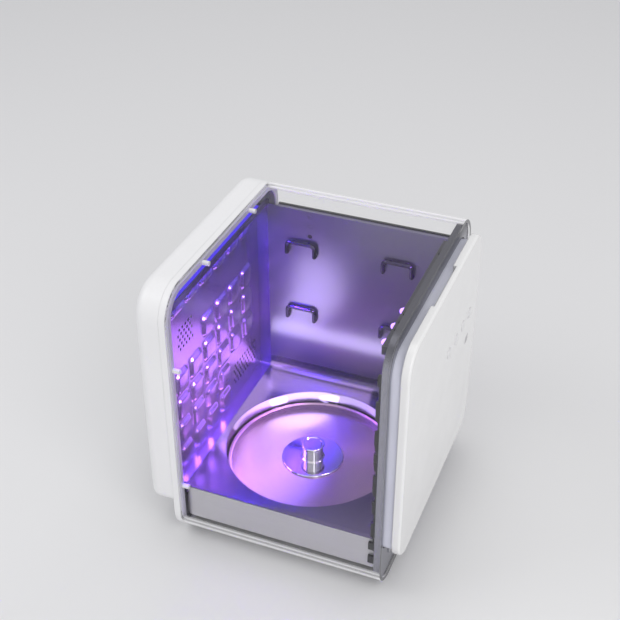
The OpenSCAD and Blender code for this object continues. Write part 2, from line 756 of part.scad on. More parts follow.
module cover_screws() {
    color("silver") for (p = screw_points()) difference() {
        union() {
            rod_y(p[0], y_cover - 5, p[1], 1.45, bump_d + 4);
            rod_y(p[0], y_cover + bump_d - 1.6, p[1], 2.9, 1.4);
        }
        along_y(y_cover + bump_d - 0.9, 1) translate([p[0], p[1]]) union() {
            square([3.6, 0.8], center = true);
            square([0.8, 3.6], center = true);
        }
    }
}

module fan_frame() {
    y0 = y_back + sheet;
    color([0.15, 0.15, 0.17]) difference() {
        along_y(y0, fan_d) translate([vent2_x, vent2_z]) rrect(fan_w, fan_w, 4);
        difference() {
            rod_y(vent2_x, y0 - 1, vent2_z, fan_w / 2 - 2, fan_d + 2);
            // spider that holds the hub
            translate([vent2_x, y0 + fan_d - 1.5, vent2_z]) for (a = [30, 150, 270])
                rotate([0, a, 0]) translate([-1.5, 0, 0]) cube([3, 3, fan_w / 2]);
            rod_y(vent2_x, y0 + fan_d - 1.5, vent2_z, 10, 3);
        }
        rod_y(vent2_x, y0 + fan_d - 3, vent2_z, 1.5 + run, 4);
    }
}

module fan_rotor() {
    y0 = y_back + sheet + 0.8;
    len = fan_d - 0.8 - 1.5 - 0.5;
    color([0.2, 0.2, 0.22]) {
        rod_y(vent2_x, y0, vent2_z, 11, len);
        rod_y(vent2_x, y0 + 1, vent2_z, 1.5, len + 0.8);
        for (k = [0:6]) translate([vent2_x, y0 + len / 2, vent2_z]) rotate([0, k * 360 / 7, 0])
            translate([0, 0, 10]) rotate([0, 0, 38]) translate([-5.2, -0.6, 0]) cube([10.4, 1.2, fan_w / 2 - 14]);
    }
}

module filter_tray() {
    y0 = y_back + sheet;
    color([0.9, 0.9, 0.91]) difference() {
        along_y(y0, 8) translate([vent1_x, vent1_z]) square([filter_w, filter_h], center = true);
        along_y(y0 - 1, 10) translate([vent1_x, vent1_z])
            square([filter_w - 6 * filter_wall, filter_h - 6 * filter_wall], center = true);
        along_y(y0 + 1.5, 10) translate([vent1_x, vent1_z])
            square([filter_w - 2 * filter_wall, filter_h - 2 * filter_wall], center = true);
    }
}

module filter_pad() {
    color([0.13, 0.13, 0.14]) along_y(y_back + sheet + 1.7, 6) translate([vent1_x, vent1_z])
        square([filter_w - 2 * filter_wall - 0.4, filter_h - 2 * filter_wall - 0.4], center = true);
}

module power_inlet() {
    color([0.1, 0.1, 0.11]) difference() {
        union() {
            along_y(y_r - 14, 14) translate([inlet_x, inlet_z]) square([24, 18], center = true);
            along_y(y_r, 1.6) translate([inlet_x, inlet_z]) rrect(30, 22, 3);
        }
        along_y(y_r - 11, 14) translate([inlet_x, inlet_z]) rrect(17, 9.4, 4.6);
        for (s = [-1, 1]) rod_y(inlet_x + s * 4.2, y_r - 13, inlet_z, 1.2, 4);
    }
}

module inlet_pins() {
    color("silver") for (s = [-1, 1]) rod_y(inlet_x + s * 4.2, y_r - 13, inlet_z, 1.2, 9);
}

module sensor() {
    color([0.2, 0.2, 0.22]) translate([xw + sheet, yt + 56.5, z_top - 34]) {
        translate([0, -5, -4]) cube([6, 10, 8]);
        translate([-sheet + 0.2, 0, 0]) rotate([0, 90, 0]) cylinder(r = sense_r, h = 3);
    }
}

// ---------- door ----------

module door_panel() {
    color("white") difference() {
        translate([0, y_dback, door_zc]) rotate([90, 0, 0])
            soft_slab(door_w, door_h, door_r, door_t, 2.5, door_r);
        // hollow behind the front skin
        along_y(y_door + skin, door_t) translate([0, door_zc]) rrect(door_w - 8, door_h - 8, door_r - 4);
        // grip recess in the upper edge, open to the back
        translate([0, y_dback - grip_d / 2 + 1, door_z + door_h]) cube([grip_w, grip_d + 2, 16], center = true);
        for (x = btn_xs) rod_y(x, y_door - 1, btn_z, btn_r + fit, skin + 2);
        along_y(y_door - 1, skin + 2) translate([status_x, status_z])
            rrect(status_w + 2 * fit, status_h + 2 * fit, 2);
    }
}

module door_back() {
    t = 1.8;
    color("white") difference() {
        along_y(y_dback - t, t) translate([0, door_zc]) rrect(door_w - 8 - 2 * fit, door_h - 8 - 2 * fit, door_r - 4 - fit);
        translate([0, y_dback, door_z + door_h]) cube([grip_w, 2 * grip_d + 2, 16], center = true);
    }
}

module door_frame() {
    color([0.78, 0.82, 0.9]) difference() {
        along_y(y_dback, fr_y1 - y_dback) frame_outline(0);
        along_y(y_dback - 1, fr_y1 - y_dback + 2) frame_outline(frame_bar);
        along_y(fr_y1 - 1.6, 3) frame_outline(frame_bar - 4);
        for (sx = [-1, 1]) rod_y(sx * magnet_x, fr_y1 - 2.2, fr_z + fr_h / 2 - 6, magnet_r + 0.1, 3);
    }
}

module door_plate() {
    color([0.75, 0.75, 0.8]) {
        along_y(fr_y1 - 1.5, 1.2) frame_outline(frame_bar - 4 + fit);
        along_y(fr_y1 - 0.4, 2) frame_outline(frame_bar + 12);
    }
}

module gasket() {
    color([0.55, 0.57, 0.62]) difference() {
        along_y(fr_y1, y_lip - fr_y1 - 0.3) frame_outline(1);
        along_y(fr_y1 - 1, 9) frame_outline(7.5);
    }
}

module hinge_leaves() {
    color([0.7, 0.7, 0.72]) for (sx = [-1, 1], s = [-1, 1]) {
        xm = sx * hinge_x + s * (knuckle_w / 2 + 0.3 + leaf_w / 2);
        difference() {
            union() {
                translate([xm - leaf_w / 2, hinge_y, hinge_z]) rotate([0, 90, 0])
                    cylinder(r = knuckle_r, h = leaf_w);
                translate([xm - leaf_w / 2, y_dback, hinge_z - knuckle_r])
                    cube([leaf_w, hinge_y - y_dback, 2 * knuckle_r]);
                translate([xm - leaf_w / 2, y_dback, hinge_z]) cube([leaf_w, 1.5, 7]);
            }
            translate([xm - leaf_w, hinge_y, hinge_z]) rotate([0, 90, 0]) cylinder(r = pin_r, h = 2 * leaf_w);
        }
    }
}

module hinge_pins() {
    len = knuckle_w + 0.6 + 2 * leaf_w;
    color("silver") for (sx = [-1, 1])
        translate([sx * hinge_x - len / 2, hinge_y, hinge_z]) rotate([0, 90, 0]) cylinder(r = pin_r, h = len);
}

module hinge_brackets() {
    color([0.7, 0.7, 0.72]) for (sx = [-1, 1]) difference() {
        union() {
            translate([sx * hinge_x - knuckle_w / 2, hinge_y, hinge_z]) rotate([0, 90, 0])
                cylinder(r = knuckle_r, h = knuckle_w);
            translate([sx * hinge_x - knuckle_w / 2, hinge_y, hinge_z - knuckle_r])
                cube([knuckle_w, y_ring - hinge_y, 2 * knuckle_r]);
            translate([sx * hinge_x - 14, y_ring - 1.2, hinge_z - 12]) cube([28, 1.2, 12 + knuckle_r]);
        }
        translate([sx * hinge_x - knuckle_w, hinge_y, hinge_z]) rotate([0, 90, 0])
            cylinder(r = pin_r + run, h = 2 * knuckle_w);
    }
}

module door_magnets() {
    color("dimgray") for (sx = [-1, 1]) rod_y(sx * magnet_x, fr_y1 - 2.1, fr_z + fr_h / 2 - 6, magnet_r, 2);
}

module ring_magnets() {
    color("dimgray") for (sx = [-1, 1]) rod_y(sx * magnet_x, y_lip + 0.6, fr_z + fr_h / 2 - 2, magnet_r, 1.4);
}

module switch_body() {
    y0 = y_base0 + base_wall;
    color([0.12, 0.12, 0.14]) difference() {
        translate([plunger_x - 6, y0, z_base + base_wall]) cube([12, 12, z_floor - tray_t - 1 - z_base - base_wall]);
        rod_y(plunger_x, y0 - 1, plunger_z, plunger_r + run, 11);
    }
}

module switch_plunger() {
    color("orange") {
        rod_y(plunger_x, y_dback + 0.3, plunger_z, plunger_r, y_base0 + base_wall + 8 - y_dback - 0.3);
    }
}

// ---------- controls ----------

module control_board() {
    y0 = y_dback - 1.8 - 1;
    color([0.1, 0.4, 0.25]) {
        translate([btn_xs[0] - 14, y0, status_z - 12]) cube([3 * btn_pitch + 28, 1, status_drop + 26]);
        for (x = btn_xs) rod_y(x, y_door + skin + 1 + btn_travel + 0.1, btn_z, 2, y0 - y_door - skin - 1 - btn_travel - 0.1);
    }
}

module status_window() {
    color([0.3, 0.3, 0.34]) {
        along_y(y_door + 0.1, skin - 0.1) translate([status_x, status_z]) rrect(status_w, status_h, 2);
        along_y(y_door + skin, 0.8) translate([status_x, status_z]) rrect(status_w + 3, status_h + 3, 2);
    }
}

module button(x) {
    // cap, standing a little proud of the door, with a flange behind the skin
    color("white") {
        rod_y(x, y_door - proud, btn_z, btn_r, skin + proud + 0.1);
        rod_y(x, y_door + skin + 0.05, btn_z, btn_r + 1.5, 0.9);
    }
}

module button_power() { button(btn_xs[0]); }

module button_mode() { button(btn_xs[1]); }

module button_time() { button(btn_xs[2]); }

module button_light() { button(btn_xs[3]); }

sleeve();
rear_ring();
clamp_ring();
ring_pegs();
front_ring();
frame_clips();
base_box();
feet();
side_wall();
edge_trim();
floor_tray();
back_wall();
back_rim();
lamp_bar();
lamp_lenses();
rear_lamp();
rear_diffuser();
dish();
spindle();
drive_shaft();
bearing_bush();
motor();
main_board();
rear_cover();
service_cover();
cover_screws();
fan_frame();
fan_rotor();
filter_tray();
filter_pad();
power_inlet();
inlet_pins();
sensor();
door_panel();
door_back();
door_frame();
door_plate();
gasket();
hinge_leaves();
hinge_pins();
hinge_brackets();
door_magnets();
ring_magnets();
switch_body();
switch_plunger();
control_board();
status_window();
button_power();
button_mode();
button_time();
button_light();
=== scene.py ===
import json
import math

import bpy
import numpy as np
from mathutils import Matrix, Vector


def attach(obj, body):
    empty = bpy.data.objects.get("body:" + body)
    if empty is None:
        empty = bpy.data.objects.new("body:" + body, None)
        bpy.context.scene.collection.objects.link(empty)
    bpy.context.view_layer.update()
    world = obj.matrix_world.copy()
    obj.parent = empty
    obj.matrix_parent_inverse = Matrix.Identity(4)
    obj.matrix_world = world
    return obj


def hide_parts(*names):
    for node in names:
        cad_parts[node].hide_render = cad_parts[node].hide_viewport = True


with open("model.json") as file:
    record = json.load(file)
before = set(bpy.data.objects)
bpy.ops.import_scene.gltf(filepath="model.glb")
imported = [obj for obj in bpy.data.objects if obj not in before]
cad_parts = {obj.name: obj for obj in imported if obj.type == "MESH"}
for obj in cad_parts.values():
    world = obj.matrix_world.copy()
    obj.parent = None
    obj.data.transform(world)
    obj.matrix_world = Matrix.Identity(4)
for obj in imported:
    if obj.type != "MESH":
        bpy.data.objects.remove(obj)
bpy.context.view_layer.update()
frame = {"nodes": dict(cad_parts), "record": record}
nodes = frame["nodes"]
scene = bpy.context.scene
scene.view_settings.view_transform = "Standard"
print("frame:", len(nodes), "nodes")

# ---- camera, floor and studio light

cameraSet = {
    "place": (-0.97090, -0.37983, 0.96661),  # metres
    "azimuth": -68.2425,                     # degrees from the front, negative to the left
    "elevation": 34.3917,
    "lens": 66.52, "sensor": 36,             # millimetres
    "clip": (0.02, 40),                      # metres
}


def placeCamera():
    data = bpy.data.cameras.new("photoCamera")
    data.lens = cameraSet["lens"]
    data.sensor_width = cameraSet["sensor"]
    data.clip_start, data.clip_end = cameraSet["clip"]
    camera = bpy.data.objects.new("photoCamera", data)
    a, e = math.radians(cameraSet["azimuth"]), math.radians(cameraSet["elevation"])
    back = Vector((math.sin(a) * math.cos(e), -math.cos(a) * math.cos(e), math.sin(e)))
    camera.location = cameraSet["place"]
    camera.rotation_mode = "QUATERNION"
    camera.rotation_quaternion = (-back).to_track_quat("-Z", "Y")
    scene.collection.objects.link(camera)
    scene.camera = camera


placeCamera()

studioSet = {
    "floorColour": (0.785, 0.785, 0.79, 1), "floorRoughness": 0.75, "floorSpecular": 0.2,
    "floorSize": 6.0,  # metres
    "worldColour": (0.97, 0.97, 0.99, 1), "worldStrength": 0.64,
    "worldSeen": (0.80, 0.80, 0.815, 1),
    # name: place, target, size, watts, colour
    "lights": {
        "keyPanel": ((-1.3, -1.5, 2.1), (0, 0, 0.15), 1.4, 14, (1.0, 0.99, 0.97)),
        "backPanel": ((-0.9, 1.6, 1.7), (0, 0, 0.2), 1.2, 8, (0.97, 0.98, 1.0)),
        "topPanel": ((0.6, 0.1, 2.3), (0, 0, 0.3), 1.6, 7, (1.0, 1.0, 1.0)),
        "lowPanel": ((-1.7, -1.5, 0.7), (0, 0, 0.12), 1.5, 8, (1.0, 0.99, 0.99)),
    },
}


def addNode(tree, kind, inputs=None, **settings):
    # one node; an input value that is a socket gets linked, anything else is typed in
    node = tree.nodes.new(kind)
    for key, value in settings.items():
        setattr(node, key, value)
    for key, value in (inputs or {}).items():
        if isinstance(value, bpy.types.NodeSocket):
            tree.links.new(value, node.inputs[key])
        else:
            node.inputs[key].default_value = value
    return node


def calc(tree, operation, *values):
    # one Math node on up to three values
    return addNode(tree, "ShaderNodeMath", dict(enumerate(values)), operation=operation).outputs[0]


def calcVector(tree, operation, *values):
    # one Vector Math node; a length and a dot product are numbers, the rest are vectors
    node = addNode(tree, "ShaderNodeVectorMath", dict(enumerate(values)), operation=operation)
    return node.outputs["Value" if operation in ("LENGTH", "DOT_PRODUCT") else "Vector"]


def ramp(tree, value, start, end, low=0.0, high=1.0, how="LINEAR"):
    # low up to start, high from end on, and a straight or soft change between them
    return addNode(tree, "ShaderNodeMapRange", {"Value": value, "From Min": start, "From Max": end,
                                                "To Min": low, "To Max": high}, interpolation_type=how).outputs[0]


def noise(tree, place, scale, detail, **more):
    return addNode(tree, "ShaderNodeTexNoise", {"Vector": place, "Scale": scale, "Detail": detail, **more}).outputs[0]


def areaLight(name, place, target, size, watts, colour, sizeY=None):
    data = bpy.data.lights.new(name, "AREA")
    data.energy = watts
    data.color = colour
    data.size = size
    if sizeY:
        data.shape = "ELLIPSE" if sizeY > size / 2 else "RECTANGLE"
        data.size_y = sizeY
    light = bpy.data.objects.new(name, data)
    light.location = place
    light.rotation_mode = "QUATERNION"
    light.rotation_quaternion = (Vector(target) - Vector(place)).to_track_quat("-Z", "Y")
    light.visible_camera = False
    scene.collection.objects.link(light)
    return light


def buildStudio():
    cfg = studioSet
    half = cfg["floorSize"] / 2
    mesh = bpy.data.meshes.new("studioFloor")
    mesh.from_pydata([(-half, -half, 0), (half, -half, 0), (half, half, 0), (-half, half, 0)], [], [(0, 1, 2, 3)])
    floor = bpy.data.objects.new("studioFloor", mesh)
    scene.collection.objects.link(floor)
    material = bpy.data.materials.new("studioFloor")
    material.use_nodes = True
    shader = material.node_tree.nodes["Principled BSDF"]
    shader.inputs["Base Color"].default_value = cfg["floorColour"]
    shader.inputs["Roughness"].default_value = cfg["floorRoughness"]
    shader.inputs["Specular IOR Level"].default_value = cfg["floorSpecular"]
    mesh.materials.append(material)

    # the world is pale where the camera, a reflection or a clear wall shows it, and lights with its own strength
    world = bpy.data.worlds.new("studioWorld")
    world.use_nodes = True
    scene.world = world
    tree = world.node_tree
    tree.nodes.clear()
    path = addNode(tree, "ShaderNodeLightPath").outputs
    seen = calc(tree, "MAXIMUM", path["Is Camera Ray"], path["Is Glossy Ray"])
    seen = calc(tree, "MAXIMUM", seen, path["Is Transmission Ray"])
    lit = addNode(tree, "ShaderNodeBackground", {"Color": cfg["worldColour"], "Strength": cfg["worldStrength"]})
    shown = addNode(tree, "ShaderNodeBackground", {"Color": cfg["worldSeen"], "Strength": 1.0})
    mix = addNode(tree, "ShaderNodeMixShader", {0: seen, 1: lit.outputs[0], 2: shown.outputs[0]})
    addNode(tree, "ShaderNodeOutputWorld", {0: mix.outputs[0]})
    for name, (place, target, size, watts, colour) in cfg["lights"].items():
        areaLight(name, place, target, size, watts, colour)
    print("studio: floor, world and", len(cfg["lights"]), "panels")


buildStudio()

# ---- shared effects, as node groups


def newGroup(name, inputs, outputs):
    # inputs are (name, kind, default); outputs are (name, kind)
    group = bpy.data.node_groups.new(name, "ShaderNodeTree")
    for label, kind, default in inputs:
        socket = group.interface.new_socket(label, in_out="INPUT", socket_type="NodeSocket" + kind)
        if default is not None:
            socket.default_value = default
    for label, kind in outputs:
        group.interface.new_socket(label, in_out="OUTPUT", socket_type="NodeSocket" + kind)
    start = group.nodes.new("NodeGroupInput")
    end = group.nodes.new("NodeGroupOutput")
    return group, start.outputs, end.inputs


grainSet = {"detail": 5.0, "roughness": 0.62, "share": 0.72, "broadScale": 9.0, "broadDetail": 2.0, "broadShare": 0.28}


def makeBrushedGrain():
    # long thin streaks: noise stretched by the Stretch vector, as height and as tone
    cfg = grainSet
    group, given, result = newGroup(
        "brushedGrain",
        [("Vector", "Vector", None), ("Stretch", "Vector", (1, 60, 60)), ("Scale", "Float", 14.0)],
        [("Height", "Float"), ("Tone", "Float")])
    mapped = calcVector(group, "MULTIPLY", given["Vector"], given["Stretch"])
    fine = noise(group, mapped, given["Scale"], cfg["detail"], Roughness=cfg["roughness"])
    broad = noise(group, given["Vector"], cfg["broadScale"], cfg["broadDetail"])
    tone = calc(group, "MULTIPLY_ADD", broad, cfg["broadShare"], calc(group, "MULTIPLY", fine, cfg["share"]))
    group.links.new(fine, result["Height"])
    group.links.new(tone, result["Tone"])
    return group


ringsSet = {"detail": 4.0, "roughness": 0.7, "share": 0.65, "driftScale": 12.0, "driftDetail": 2.0, "driftShare": 0.35}


def makeSpunRings():
    # turning marks: noise along the distance from the Z axis, with a slow change round the axis
    cfg = ringsSet
    group, given, result = newGroup("spunRings", [("Vector", "Vector", None), ("Scale", "Float", 900.0)],
                                    [("Tone", "Float")])
    radius = calcVector(group, "LENGTH", calcVector(group, "MULTIPLY", given["Vector"], (1, 1, 0)))
    lines = addNode(group, "ShaderNodeTexNoise", {"W": radius, "Scale": given["Scale"], "Detail": cfg["detail"],
                                                  "Roughness": cfg["roughness"]}, noise_dimensions="1D").outputs[0]
    drift = noise(group, given["Vector"], cfg["driftScale"], cfg["driftDetail"])
    tone = calc(group, "MULTIPLY_ADD", lines, cfg["share"], calc(group, "MULTIPLY", drift, cfg["driftShare"]))
    group.links.new(tone, result["Tone"])
    return group


skinSet = {"detail": 2.0, "roughness": 0.55, "slowScale": 18.0, "slowDetail": 3.0}


def makeMouldedSkin():
    # moulded plastic: a very fine pebble with slow mottling under it
    group, given, result = newGroup("mouldedSkin", [("Vector", "Vector", None), ("Scale", "Float", 1400.0)],
                                    [("Height", "Float"), ("Mottle", "Float")])
    pebble = noise(group, given["Vector"], given["Scale"], skinSet["detail"], Roughness=skinSet["roughness"])
    slow = noise(group, given["Vector"], skinSet["slowScale"], skinSet["slowDetail"])
    group.links.new(pebble, result["Height"])
    group.links.new(slow, result["Mottle"])
    return group


edgeSet = {"samples": 6, "flat": 0.995, "hard": 0.86}  # cosine between the rounded and the plain normal


def makeSoftEdge():
    # rounded normals at hard edges, and a mask that is 1 on those edges
    group, given, result = newGroup("softEdge", [("Radius", "Float", 0.0006)],
                                    [("Normal", "Vector"), ("Mask", "Float")])
    bevel = addNode(group, "ShaderNodeBevel", {"Radius": given["Radius"]}, samples=edgeSet["samples"])
    plain = addNode(group, "ShaderNodeNewGeometry")
    cosine = calcVector(group, "DOT_PRODUCT", bevel.outputs[0], plain.outputs["Normal"])
    group.links.new(bevel.outputs[0], result["Normal"])
    group.links.new(ramp(group, cosine, edgeSet["flat"], edgeSet["hard"]), result["Mask"])
    return group


dustSet = {"colour": (0.62, 0.60, 0.58), "tilt": (0.35, 1.0), "scale": 240.0, "detail": 3.0, "gaps": (0.42, 0.72)}


def makeFineDust():
    # a thin veil on faces that look up, broken by noise
    cfg = dustSet
    group, given, result = newGroup("fineDust", [("Vector", "Vector", None), ("Amount", "Float", 0.2)],
                                    [("Mask", "Float")])
    plain = addNode(group, "ShaderNodeNewGeometry")
    parts = addNode(group, "ShaderNodeSeparateXYZ", {0: plain.outputs["Normal"]})
    up = ramp(group, parts.outputs["Z"], *cfg["tilt"])
    broken = ramp(group, noise(group, given["Vector"], cfg["scale"], cfg["detail"]), *cfg["gaps"])
    veil = calc(group, "MULTIPLY", calc(group, "MULTIPLY", up, broken), given["Amount"])
    group.links.new(veil, result["Mask"])
    return group


brushedGrain, spunRings = makeBrushedGrain(), makeSpunRings()
mouldedSkin, softEdge, fineDust = makeMouldedSkin(), makeSoftEdge(), makeFineDust()
print("effects: five node groups")

# ---- materials

noiseRange = (0.3, 0.7)  # where nearly all values of a noise lie


def startMaterial(name, colour, roughness, metallic=0.0, edge=0.0006, **sockets):
    material = bpy.data.materials.new(name)
    material.use_nodes = True
    material.diffuse_color = (*colour, 1)
    tree = material.node_tree
    shader = tree.nodes["Principled BSDF"]
    shader.inputs["Base Color"].default_value = (*colour, 1)
    shader.inputs["Roughness"].default_value = roughness
    shader.inputs["Metallic"].default_value = metallic
    for label, value in sockets.items():
        shader.inputs[label.replace("_", " ")].default_value = value
    coords = addNode(tree, "ShaderNodeTexCoord").outputs["Object"]
    edges = None
    if edge:
        edges = addNode(tree, "ShaderNodeGroup", {"Radius": edge}, node_tree=softEdge)
        tree.links.new(edges.outputs["Normal"], shader.inputs["Normal"])
    return material, tree, shader, coords, edges


def mixColour(tree, factor, first, second):
    mix = addNode(tree, "ShaderNodeMix", data_type="RGBA", blend_type="MIX")
    for index, value in ((0, factor), (6, first), (7, second)):
        if isinstance(value, bpy.types.NodeSocket):
            tree.links.new(value, mix.inputs[index])
        else:
            mix.inputs[index].default_value = (*value, 1)
    return mix.outputs[2]


def twoTones(tree, tone, colour, shade):
    # the colour, darker by the share shade where the tone is low and lighter by it where the tone is high
    dark = tuple(c * (1 - shade) for c in colour)
    light = tuple(min(1, c * (1 + shade)) for c in colour)
    return mixColour(tree, ramp(tree, tone, *noiseRange), dark, light)


def bumpFrom(tree, shader, height, strength, depth, edges):
    bump = addNode(tree, "ShaderNodeBump", {"Height": height, "Strength": strength, "Distance": depth,
                                            "Normal": edges.outputs["Normal"]})
    tree.links.new(bump.outputs[0], shader.inputs["Normal"])


metalSet = {"rubbed": 0.25, "gain": 1.5, "lift": 0.05, "depth": 0.0002}


def metalFinish(name, colour, roughness, stretch, scale=14.0, shade=0.12, relief=0.15, edge=0.0006, metallic=1.0,
                swing=0.06, paintedShade=None):
    # brushed metal: streaks in tone, roughness and height, and edges rubbed bright; a painted shade, in a darker
    # colour and its own roughness, goes on one side of a limit along an axis, or softly between a pair of limits
    cfg = metalSet
    material, tree, shader, coords, edges = startMaterial(name, colour, roughness, metallic, edge)
    grain = addNode(tree, "ShaderNodeGroup", {"Vector": coords, "Stretch": stretch, "Scale": scale},
                    node_tree=brushedGrain).outputs
    worn = twoTones(tree, grain["Tone"], colour, shade)
    if edges:
        bright = tuple(min(1, c * cfg["gain"] + cfg["lift"]) for c in colour)
        worn = mixColour(tree, calc(tree, "MULTIPLY", edges.outputs["Mask"], cfg["rubbed"]), worn, bright)
    rough = ramp(tree, grain["Tone"], *noiseRange, roughness * (1 - swing), roughness * (1 + swing))
    # painted shade, where one is given: a darker colour and another roughness past the limit
    if paintedShade:
        along = addNode(tree, "ShaderNodeSeparateXYZ", {0: coords}).outputs[paintedShade["axis"]]
        if paintedShade["how"] == "SOFT":
            past = ramp(tree, along, *paintedShade["limit"], how="SMOOTHSTEP")
        else:
            past = calc(tree, paintedShade["how"], along, paintedShade["limit"])
        worn = mixColour(tree, past, worn, paintedShade["colour"])
        rough = addNode(tree, "ShaderNodeMix", {0: past, 2: rough, 3: paintedShade["roughness"]}).outputs[0]
    tree.links.new(worn, shader.inputs["Base Color"])
    tree.links.new(rough, shader.inputs["Roughness"])
    if relief:
        bumpFrom(tree, shader, grain["Height"], relief, cfg["depth"], edges)
    return material


turnedSet = {"centre": (0.0, 0.00395), "edge": 0.0005, "swing": 0.06}  # the turntable's axis, in metres


def spunFinish(name, colour, roughness, scale, shade, metallic=1.0, anisotropic=0.0):
    # turned metal: rings round the turntable's axis, and highlights that fan out from it
    cfg = turnedSet
    material, tree, shader, coords, edges = startMaterial(name, colour, roughness, metallic, cfg["edge"])
    if anisotropic:
        shader.inputs["Anisotropic"].default_value = anisotropic
        turning = addNode(tree, "ShaderNodeTangent", direction_type="RADIAL", axis="Z")
        tree.links.new(turning.outputs[0], shader.inputs["Tangent"])
    centred = addNode(tree, "ShaderNodeMapping", {"Vector": coords, "Location": (*(-c for c in cfg["centre"]), 0)})
    rings = addNode(tree, "ShaderNodeGroup", {"Vector": centred.outputs[0], "Scale": scale}, node_tree=spunRings)
    tone = rings.outputs["Tone"]
    tree.links.new(twoTones(tree, tone, colour, shade), shader.inputs["Base Color"])
    rough = ramp(tree, tone, *noiseRange, roughness * (1 - cfg["swing"]), roughness * (1 + cfg["swing"]))
    tree.links.new(rough, shader.inputs["Roughness"])
    return material


plasticSet = {"lift": 0.12, "roughest": 1.15, "smoothest": 0.9, "coatRoughness": 0.12, "depth": 0.0001}


def plasticFinish(name, colour, roughness, pebble=1400.0, relief=0.05, mottle=0.025, dust=0.0, edge=0.0008,
                  wear=0.0, coat=0.0):
    # moulded plastic: fine pebble, slow mottling, pale rubbed edges and a little dust on top
    cfg = plasticSet
    material, tree, shader, coords, edges = startMaterial(name, colour, roughness, 0.0, edge, Coat_Weight=coat,
                                                          Coat_Roughness=cfg["coatRoughness"])
    skin = addNode(tree, "ShaderNodeGroup", {"Vector": coords, "Scale": pebble}, node_tree=mouldedSkin).outputs
    body = twoTones(tree, skin["Mottle"], colour, mottle)
    if wear:
        pale = tuple(min(1, c + cfg["lift"]) for c in colour)
        body = mixColour(tree, calc(tree, "MULTIPLY", edges.outputs["Mask"], wear), body, pale)
    if dust:
        veil = addNode(tree, "ShaderNodeGroup", {"Vector": coords, "Amount": dust}, node_tree=fineDust)
        body = mixColour(tree, veil.outputs["Mask"], body, dustSet["colour"])
    tree.links.new(body, shader.inputs["Base Color"])
    rough = ramp(tree, skin["Mottle"], *noiseRange, roughness * cfg["smoothest"], roughness * cfg["roughest"])
    tree.links.new(rough, shader.inputs["Roughness"])
    bumpFrom(tree, shader, skin["Height"], relief, cfg["depth"], edges)
    return material


clearSet = {
    "colour": (0.95, 0.95, 0.96), "rimShadeColour": (0.07, 0.07, 0.08), "ior": 1.49,
    "roughness": 0.06, "roughRange": (0.04, 0.1), "roughScale": 7.0, "roughDetail": 2.0,
    # alpha seen face on and at a glance, and between which values of Facing it changes
    "blend": 0.32, "faceAlpha": 0.015, "glanceAlpha": 0.6, "haze": (0.33, 0.9), "line": (0.33, 0.6),
    # metres: the corners lie further than this from the middle, sideways and up or down
    "middle": 0.1675, "cornerX": 0.112, "cornerZ": 0.130,
    # metres along Y: only the front rim carries the painted dark line, a painted shade
    "rimAlpha": 0.92, "rimEnd": -0.1312, "rimFade": 0.0003,
}


def clearFinish():
    # clear acrylic: nearly invisible face on, hazier at a glancing angle, with painted shade, a near-black line, on
    # its front rim
    cfg = clearSet
    material, tree, shader, coords, edges = startMaterial("clearAcrylic", cfg["colour"], cfg["roughness"], 0.0, None,
                                                          IOR=cfg["ior"])
    facing = addNode(tree, "ShaderNodeLayerWeight", {"Blend": cfg["blend"]}).outputs["Facing"]
    face = ramp(tree, facing, *cfg["haze"], cfg["faceAlpha"], cfg["glanceAlpha"], "SMOOTHSTEP")
    # painted highlight: the rounded corners are made more opaque at a glance, so that their white colour shows as a
    # line of the light the wall's thickness would gather
    place = addNode(tree, "ShaderNodeSeparateXYZ", {0: coords}).outputs
    sideways = calc(tree, "ABSOLUTE", place["X"])
    upwards = calc(tree, "ABSOLUTE", calc(tree, "SUBTRACT", place["Z"], cfg["middle"]))
    corner = calc(tree, "MULTIPLY", calc(tree, "GREATER_THAN", upwards, cfg["cornerZ"]),
                  calc(tree, "GREATER_THAN", sideways, cfg["cornerX"]))
    line = calc(tree, "MULTIPLY", ramp(tree, facing, *cfg["line"], how="SMOOTHSTEP"), corner)
    face = calc(tree, "MAXIMUM", face, line)
    # painted shade: the front rim is near black and nearly opaque
    rim = ramp(tree, place["Y"], cfg["rimEnd"], cfg["rimEnd"] - cfg["rimFade"])
    alpha = calc(tree, "MAXIMUM", face, calc(tree, "MULTIPLY", rim, cfg["rimAlpha"]))
    tree.links.new(alpha, shader.inputs["Alpha"])
    tree.links.new(mixColour(tree, rim, cfg["colour"], cfg["rimShadeColour"]), shader.inputs["Base Color"])
    cloudy = noise(tree, coords, cfg["roughScale"], cfg["roughDetail"])
    tree.links.new(ramp(tree, cloudy, *noiseRange, *cfg["roughRange"]), shader.inputs["Roughness"])
    return material


lensSet = {"roughness": 0.25, "ior": 1.5, "rippleScale": 300.0, "rippleDetail": 1.0, "deep": 0.75}


def lampFinish(name, colour, strength):
    # lit lens: a faint ripple in the colour of its glow
    cfg = lensSet
    material, tree, shader, coords, edges = startMaterial(name, colour, cfg["roughness"], IOR=cfg["ior"])
    shader.inputs["Emission Strength"].default_value = strength
    ripple = ramp(tree, noise(tree, coords, cfg["rippleScale"], cfg["rippleDetail"]), *noiseRange)
    deep = tuple(c * cfg["deep"] for c in colour)
    tree.links.new(mixColour(tree, ripple, deep, colour), shader.inputs["Emission Color"])
    return material


boardSet = {
    "mask": (0.02, 0.14, 0.07), "shade": (0.02, 0.11, 0.06), "track": (0.05, 0.26, 0.12), "pad": (0.55, 0.50, 0.38),
    "roughness": 0.4, "edge": 0.0003, "padScale": 260.0, "padScatter": 0.55, "padEdge": (0.12, 0.16),
    "trackScale": 120.0, "trackWidth": 0.03,
}


